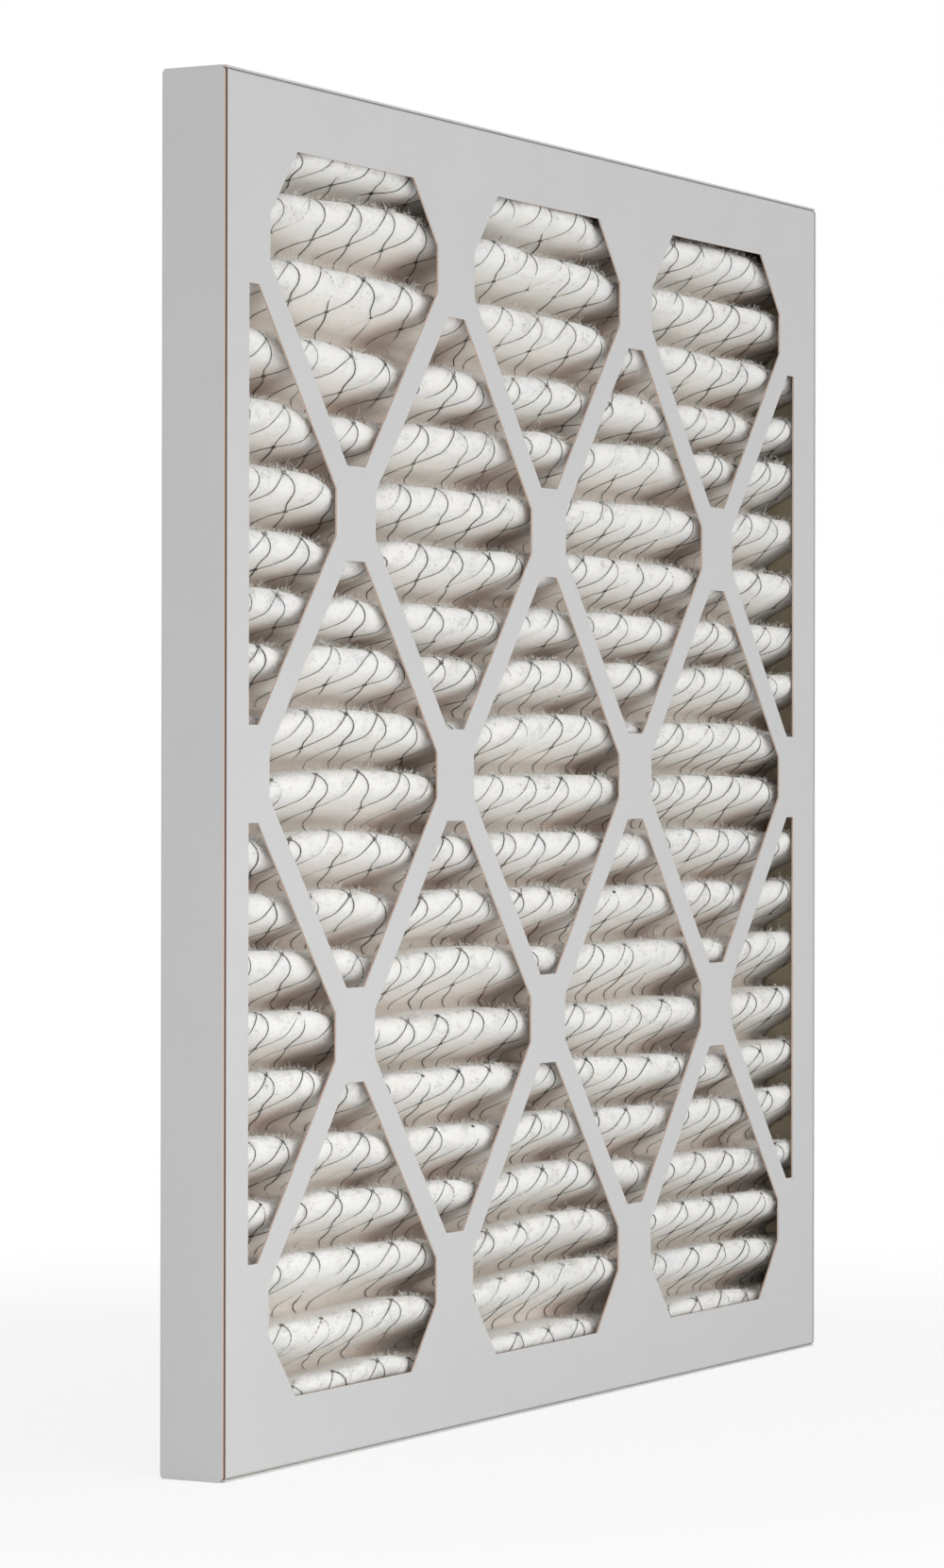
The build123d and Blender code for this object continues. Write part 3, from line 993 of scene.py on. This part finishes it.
@dataclass
class FilterMedia:
    """The pleated sheet and the fibres that stand off it."""

    path: PleatPath
    net: WireNet
    columns: int = 121
    crest_steps: int = 4
    flank_steps: int = 3
    valley_steps: int = 4
    # Each loose fibre stands for a wisp of real ones, which are some 0.02 mm thick and too fine to show.
    fibre_radius: float = 0.085 * MM
    fibre_length: float = 2.1 * MM
    length_spread: float = 0.45
    root_depth: float = 0.2 * MM
    flattest: float = 4.0
    fibres_to_a_tuft: int = 12
    tuft_spread: float = 1.6 * MM
    tuft_legs: float = 0.15
    nap_half_width: float = 232 * MM
    # Fold depths where painted strut shadow starts and is full, and how far along X it is shifted off the
    # struts.
    shade_from: float = 0.22
    shade_to: float = 0.6
    shade_lead: float = 4 * MM

    def _legs(self) -> Array:
        """Space the mesh's rows along the sheet, closer together round the folds.

        Returns:
            The leg coordinate of each row, from the lower tail up.
        """
        steps = np.array([self.crest_steps, self.flank_steps, self.valley_steps, self.flank_steps,
                          self.crest_steps])
        pleat = np.concatenate([leg + np.arange(n) / n for leg, n in enumerate(steps)])
        body = (pleat[None, :] + self.path.legs * np.arange(self.path.pleats)[:, None]).ravel()
        start = np.array([-2, -1.5, -1, -0.75, -0.5, -0.25])
        end = self.path.legs * self.path.pleats - start[::-1]
        return np.concatenate([start, body, [self.path.legs * self.path.pleats], end])

    def sheet(self) -> bpy.types.Object:
        """Build the sheet as one closed skin: front grid, rear grid, and a rim joining their edges.

        Both grids are the path's points at half the thickness over and under the centre line.

        Returns:
            The whole sheet, with the attributes that its finish reads.
        """
        legs = self._legs()
        x = np.linspace(self.path.low.x, self.path.high.x, self.columns)
        half = self.path.thickness / 2
        front, _ = self.path.place(x[None, :], legs[:, None], half)
        rear, _ = self.path.place(x[None, :], legs[:, None], -half)
        rows, columns = len(legs), self.columns
        number = np.arange(rows * columns).reshape(rows, columns)
        quads = np.stack([number[:-1, :-1], number[:-1, 1:], number[1:, 1:], number[1:, :-1]], -1)
        quads = quads.reshape(-1, 4)
        count = rows * columns
        edge = np.concatenate([number[0, :], number[1:, -1], number[-1, -2::-1], number[-2:0:-1, 0]])
        onward = np.roll(edge, -1)
        rim = np.stack([onward, edge, edge + count, onward + count], -1)
        faces = np.concatenate([quads, quads[:, ::-1] + count, rim])
        points = np.concatenate([front.reshape(-1, 3), rear.reshape(-1, 3)])
        piece = mesh_piece("pleated_media_sheet", points, faces, smooth=True)
        depth = self.path.high.y - self.path.low.y
        from_front = (points[:count, 1] - self.path.low.y) / depth
        from_rear = (self.path.high.y - points[count:, 1]) / depth
        add_attribute(piece, "fold_depth", np.concatenate([from_front, from_rear]))
        # Painted shadow of the struts, deep in the folds behind them, on both faces.
        add_attribute(piece, "painted_strut_shadow", np.concatenate([
            self._painted_shadow_share(points[:count], from_front), self._painted_shadow_share(points[count:], from_rear)]))
        # The rear carries no net, so that it lies half way between strands all over.
        free = np.full(count, 0.5)
        for name, family in zip(("net_first", "net_second"), self.net.families_at(x[None, :], legs[:, None])):
            add_attribute(piece, name, np.concatenate([family.ravel(), free]))
        dress(piece, NonwovenFibre().build())
        return piece

    def _painted_shadow_share(self, points: Array, depth: Array) -> Array:
        """Give the share of painted strut shadow: how far points lie both deep in a fold and under a strut,
        as the two shares multiplied.
        """
        deep = np.clip((depth - self.shade_from) / (self.shade_to - self.shade_from), 0, 1)
        return deep * self.path.pinch(points[:, 0] + self.shade_lead, points[:, 2])

    def nap(self, where: Nap) -> bpy.types.Object:
        """Build one band of loose fibres, each a bent spindle of six faces.

        Half the fibres grow evenly and half in tufts. A fibre's root is in the sheet. Half its length leads
        to its waist, along cos(slant) flat + sin(slant) normal, where flat is a random direction in the
        sheet. The other half leads to its end, along 0.8 flat + 0.6 sin(slant) normal and a random bend. The
        waist is a ring of three points, at radius * (cos u, sin u) across the fibre with u by thirds of a
        turn, and both tips are single points.

        Args:
            where: Which band it is.

        Returns:
            All the fibres as one piece.
        """
        band = where.value
        count = band.count
        draw = np.random.default_rng(band.seed)
        x = draw.uniform(-self.nap_half_width, self.nap_half_width, count)
        tip = draw.integers(1, self.path.pleats, count) + (0.0 if band.side is Side.FRONT else 0.5)
        leg = self.path.legs * tip + draw.normal(band.middle, band.spread, count)
        tufted = np.arange(count // 2)
        seat = tufted // self.fibres_to_a_tuft
        x[tufted] = x[seat] + draw.normal(0, self.tuft_spread, len(tufted))
        leg[tufted] = leg[seat] + draw.normal(0, self.tuft_legs, len(tufted))
        root, normal = self.path.place(x, leg, band.side.value * self.path.thickness / 2)
        normal = normal * band.side.value
        across = np.stack([np.ones(count), np.zeros(count), np.zeros(count)], -1)
        along = np.cross(normal, across)
        turn = draw.uniform(0, 2 * math.pi, count)[:, None]
        slant = np.radians(draw.uniform(self.flattest, band.steepest, count))[:, None]
        length = (self.fibre_length * np.exp(draw.normal(0, self.length_spread, count)))[:, None]
        flat = np.cos(turn) * across + np.sin(turn) * along
        bend = unit(draw.normal(0, 1, (count, 3))) * 0.5
        waist = root + length * 0.5 * (np.cos(slant) * flat + np.sin(slant) * normal)
        end = waist + length * 0.5 * unit(0.8 * flat + np.sin(slant) * 0.6 * normal + bend)
        root = root - self.root_depth * normal
        direction = unit(end - root)
        # The small offset keeps the product from vanishing on a fibre that lies along X.
        sideways = unit(np.cross(direction, across + 0.01))
        upwards = np.cross(direction, sideways)
        spokes = np.arange(3)[None, :, None] * 2 * math.pi / 3
        ring = waist[:, None] + self.fibre_radius * (
            np.cos(spokes) * sideways[:, None] + np.sin(spokes) * upwards[:, None])
        points = np.concatenate([root[:, None], ring, end[:, None]], axis=1)
        points = within_boards(points, self.path.board + 0.5 * self.fibre_radius)
        pattern = np.array([[0, 2, 1], [0, 3, 2], [0, 1, 3], [4, 1, 2], [4, 2, 3], [4, 3, 1]])
        faces = (pattern[None] + 5 * np.arange(count)[:, None, None]).reshape(-1, 3)
        piece = mesh_piece(f"media_nap_{where.name.lower()}", points.reshape(-1, 3), faces, smooth=True)
        dress(piece, LooseFibre().build())
        return piece


@dataclass
class CardFrame:
    """The two folded paperboard trays, which keep their solids."""

    def dress(self) -> None:
        """Give each tray the board finish."""
        for tray in Tray:
            material = ClayCoatedBoard(name=f"clay_coated_board_{tray.name.lower()}").build(tray)
            dress(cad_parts[tray.value], material)
            LOG.info("%s dressed in %s", tray.value, material.name)


@dataclass
class Bonding:
    """The seals and adhesive films between the trays and the sheet, which keep their solids."""

    nodes: tuple[str, ...] = (
        "end_seal_left", "end_seal_right", "media_bond_top", "media_bond_bottom",
        "flap_glue_left", "flap_glue_right", "flap_glue_top", "flap_glue_bottom")

    def dress(self) -> None:
        """Give every seal and film the adhesive finish."""
        material = HotMeltAdhesive().build()
        for name in self.nodes:
            dress(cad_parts[name], material)
        LOG.info("%d seals and films dressed in %s", len(self.nodes), material.name)


@dataclass(frozen=True)
class Softbox:
    """A flat lamp that shines evenly from its face, with a power in watts, towards the filter's middle."""

    name: str
    place: tuple[float, float, float]
    size: tuple[float, float]
    power: float

    def hang(self) -> None:
        """Hang the lamp in its place and aim it."""
        lamp = bpy.data.lights.new(self.name, "AREA")
        lamp.shape = "RECTANGLE"
        lamp.size, lamp.size_y = self.size
        lamp.energy = self.power
        softbox = bpy.data.objects.new(self.name, lamp)
        softbox.location = self.place
        softbox.visible_camera = False
        aim = (CAD_BOX[0] + CAD_BOX[1]) / 2 - Vector(self.place)
        softbox.rotation_euler = aim.to_track_quat("-Z", "Y").to_euler()
        bpy.context.scene.collection.objects.link(softbox)


@dataclass
class Studio:
    """A pale floor, a white surround, soft lamps and the camera.

    The camera's turns are in degrees, its sensor in millimetres, and its focal length in pixels of a frame
    that is `long_side_pixels` long.
    """

    camera_place: tuple[float, float, float] = (-1.7389, -0.92108, 0.24312)
    heading: float = -61.51
    pitch: float = 0.03
    roll: float = -0.0945
    focal_pixels: float = 5297.0
    long_side_pixels: float = 1661.0
    sensor: float = 36.0
    clip_start: float = 0.01
    clip_end: float = 50.0
    floor_half: float = 6.0
    floor_drop: float = 0.2 * MM
    floor_white: str = "#F4F4F4"
    shadow_share: float = 0.2
    shadow_reach: tuple[float, float] = (0.3, 0.75)
    sky_strength: float = 0.66
    lamps: tuple[Softbox, ...] = (
        Softbox("key_softbox", (-0.3, -3.0, 2.5), (2.2, 2.2), 18.0),
        Softbox("side_softbox", (-1.8, -0.9, 0.15), (1.0, 1.0), 5.0),
        Softbox("low_striplight", (-0.2, -0.5, 0.05), (1.1, 0.1), 1.0))

    def build(self) -> None:
        """Build the whole studio."""
        self._floor()
        self._world()
        for lamp in self.lamps:
            lamp.hang()
        self._camera()
        LOG.info("studio built")

    @staticmethod
    def _seen(tree: bpy.types.NodeTree) -> bpy.types.Node:
        """Give 1 for rays from the eye, straight, by a mirror or through glass, and 0 for scattered ones.

        Args:
            tree: The node tree that takes the nodes.

        Returns:
            The node whose output it is.
        """
        rays = add_node(tree, "ShaderNodeLightPath").outputs
        mirrored = add_node(tree, "ShaderNodeMath", {
            0: rays["Is Camera Ray"], 1: rays["Is Glossy Ray"]}, operation="MAXIMUM")
        return add_node(tree, "ShaderNodeMath", {
            0: mirrored, 1: rays["Is Transmission Ray"]}, operation="MAXIMUM")

    def _floor(self) -> None:
        """Lay a floor that looks white and keeps a soft share of the shadow."""
        half = self.floor_half
        corners = np.array([[-half, -half], [half, -half], [half, half], [-half, half]])
        corners = np.column_stack([corners, np.full(4, -self.floor_drop)])
        floor = mesh_piece("studio_floor", corners, np.array([[0, 1, 2, 3]]), smooth=False)
        material, tree, place = new_material("studio_floor_white")
        matt = add_node(tree, "ShaderNodeBsdfDiffuse", {"Color": linear(self.floor_white)})
        glow = add_node(tree, "ShaderNodeEmission", {"Color": (1, 1, 1, 1), "Strength": 1.0})
        distance = add_node(tree, "ShaderNodeVectorMath", {0: place}, operation="LENGTH").outputs["Value"]
        near, far = self.shadow_reach
        glowing = add_node(tree, "ShaderNodeMapRange", {
            "Value": distance, "From Min": near, "From Max": far, "To Min": 1 - self.shadow_share,
            "To Max": 1.0}, interpolation_type="SMOOTHSTEP")
        share = add_node(tree, "ShaderNodeMath", {0: self._seen(tree), 1: glowing}, operation="MULTIPLY")
        mixed = add_node(tree, "ShaderNodeMixShader", {0: share, 1: matt, 2: glow})
        add_node(tree, "ShaderNodeOutputMaterial", {"Surface": mixed})
        dress(floor, material)

    def _world(self) -> None:
        """Surround everything with even light, seen as white."""
        world = bpy.data.worlds.new("studio_surround")
        world.use_nodes = True
        tree = world.node_tree
        tree.nodes.clear()
        strength = add_node(tree, "ShaderNodeMapRange", {
            "Value": self._seen(tree), "To Min": self.sky_strength, "To Max": 1.0})
        sky = add_node(tree, "ShaderNodeBackground", {"Color": (1, 1, 1, 1), "Strength": strength})
        add_node(tree, "ShaderNodeOutputWorld", {"Surface": sky})
        bpy.context.scene.world = world

    def _camera(self) -> None:
        """Set the camera, level and well to the left of the panel's face."""
        data = bpy.data.cameras.new("camera")
        data.sensor_width = self.sensor
        data.lens = self.focal_pixels * self.sensor / self.long_side_pixels
        data.clip_start = self.clip_start
        data.clip_end = self.clip_end
        camera = bpy.data.objects.new("camera", data)
        camera.location = self.camera_place
        camera.rotation_euler = [math.radians(turn) for turn in (90 + self.pitch, self.roll, self.heading)]
        bpy.context.scene.collection.objects.link(camera)
        bpy.context.scene.camera = camera


def main() -> None:
    """Build and dress every sub-assembly in order."""
    logging.basicConfig(level=logging.INFO, format="%(message)s")
    bpy.context.scene.view_settings.view_transform = "Standard"
    Studio().build()
    CardFrame().dress()
    Bonding().dress()

    path = PleatPath()
    weave = WireNet(path)
    media = FilterMedia(path, weave)
    sheet = media.sheet()
    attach(sheet, "root")
    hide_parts("pleated_media")
    naps = [media.nap(band) for band in Nap]
    for nap in naps:
        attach(nap, "root")

    net = weave.build()
    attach(net, "root")
    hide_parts("wire_backing")
    for piece in (sheet, *naps, net):
        LOG.info("%s: %d faces", piece.name, len(piece.data.polygons))


if __name__ == "__main__":
    main()
